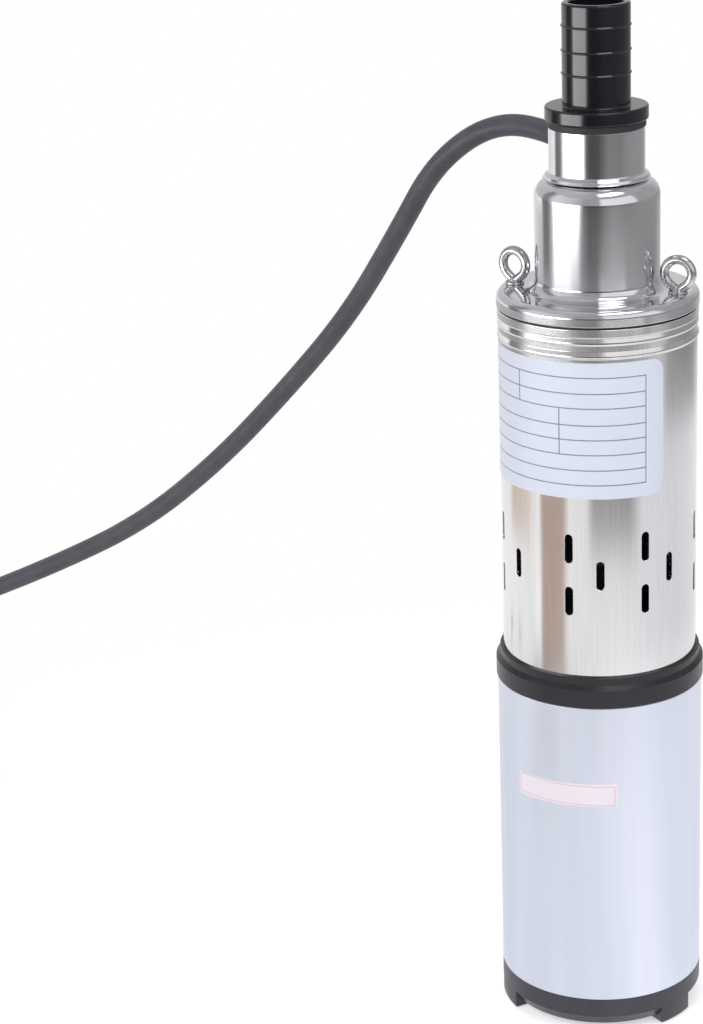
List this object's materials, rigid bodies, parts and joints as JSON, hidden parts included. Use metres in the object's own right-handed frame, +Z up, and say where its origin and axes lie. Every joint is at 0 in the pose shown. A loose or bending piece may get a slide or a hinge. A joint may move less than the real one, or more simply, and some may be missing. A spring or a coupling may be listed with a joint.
{
  "type": "submersible pump",
  "caption": "Slim screw pump for a well: satin motor tube with black cover, perforated steel sleeve, polished domed head with lifting eyes, black hose tail and a coiled rubber cable.",
  "frame": {"origin": "on the floor under the middle of the pump, level with the bottoms of its feet", "axes": "+Z up the shaft to the outlet, -Y the front with the label, +X to the right"},
  "size_m": [0.4557, 0.2786, 0.3974],
  "materials": {
    "black_plastic": "satin moulded",
    "black_rubber": "matte",
    "lining_rubber": "smooth",
    "polished_steel": "polished",
    "sleeve_steel": "bright drawn",
    "satin_tube": "satin",
    "machined_steel": "turned",
    "zinc_steel": "zinc plated",
    "cast_metal": "die cast",
    "core_steel": "laminated, varnished",
    "magnet": "epoxy coated",
    "copper": "enamelled wire",
    "ceramic": "lapped",
    "carbon": "lapped",
    "board": "lacquered",
    "cable_rubber": "matte",
    "red_insulation": "smooth",
    "blue_insulation": "smooth",
    "tinned": "tinned strands"
  },
  "bodies": {
    "casing": {"bottom_cover": "black_plastic", "cover_screws": "zinc_steel", "cover_seal_ring": "black_rubber", "controller_board": "board", "motor_tube": "satin_tube", "lower_bracket": "cast_metal", "lower_bearing_outer": "machined_steel", "stator_core": "core_steel", "stator_windings": "copper", "upper_bearing_outer": "machined_steel", "seal_housing": "black_plastic", "tube_seal_ring": "black_rubber", "seal_seat": "ceramic", "stator_tube": "machined_steel", "stator_lining": "lining_rubber", "clamp_plate": "machined_steel", "tie_rods": "machined_steel", "inner_cable": "cable_rubber", "pump_sleeve": "sleeve_steel", "head_gasket": "black_rubber", "outlet_head": "polished_steel", "outlet_neck": "polished_steel", "barb_gasket": "black_rubber", "hose_barb": "black_plastic", "lifting_eye_left": "zinc_steel", "lifting_eye_right": "zinc_steel", "gland_body": "machined_steel", "gland_seal": "black_rubber", "gland_nut": "machined_steel", "power_cable": "cable_rubber", "cable_coil": "cable_rubber", "coil_tie": "black_plastic", "cable_end": "cable_rubber", "core_red": "red_insulation", "core_blue": "blue_insulation", "core_tips": "tinned"},
    "shaft": {"motor_shaft": "machined_steel", "rotor_core": "core_steel", "rotor_magnets": "magnet", "lower_bearing_inner": "machined_steel", "upper_bearing_inner": "machined_steel", "seal_face": "carbon", "seal_bellows": "black_rubber", "sand_slinger": "black_rubber", "shaft_coupling": "machined_steel", "coupling_screws": "zinc_steel"},
    "lower_balls": {"lower_bearing_balls": "polished_steel"},
    "upper_balls": {"upper_bearing_balls": "polished_steel"},
    "drive_rod": {"connecting_rod": "machined_steel"},
    "screw": {"pump_screw": "polished_steel"}
  },
  "joints": [
    {"name": "shaft_spin", "type": "hinge", "parent": "casing", "child": "shaft", "pos_m": [0, 0, 0.1], "axis": [0, 0, 1], "continuous": true},
    {"name": "lower_cage_spin", "type": "hinge", "parent": "casing", "child": "lower_balls", "pos_m": [0, 0, 0.043], "axis": [0, 0, 1], "continuous": true},
    {"name": "upper_cage_spin", "type": "hinge", "parent": "casing", "child": "upper_balls", "pos_m": [0, 0, 0.129], "axis": [0, 0, 1], "continuous": true},
    {"name": "rod_orbit", "type": "hinge", "parent": "casing", "child": "drive_rod", "pos_m": [0, 0, 0.19], "axis": [0, 0, 1], "continuous": true},
    {"name": "screw_spin", "type": "hinge", "parent": "drive_rod", "child": "screw", "pos_m": [0.0025, 0, 0.28], "axis": [0, 0, 1], "continuous": true}
  ],
  "couplings": [
    {"joint": "lower_cage_spin", "follows": "shaft_spin", "ratio": 0.368},
    {"joint": "upper_cage_spin", "follows": "shaft_spin", "ratio": 0.368},
    {"joint": "rod_orbit", "follows": "shaft_spin", "ratio": -1},
    {"joint": "screw_spin", "follows": "shaft_spin", "ratio": 2}
  ]
}
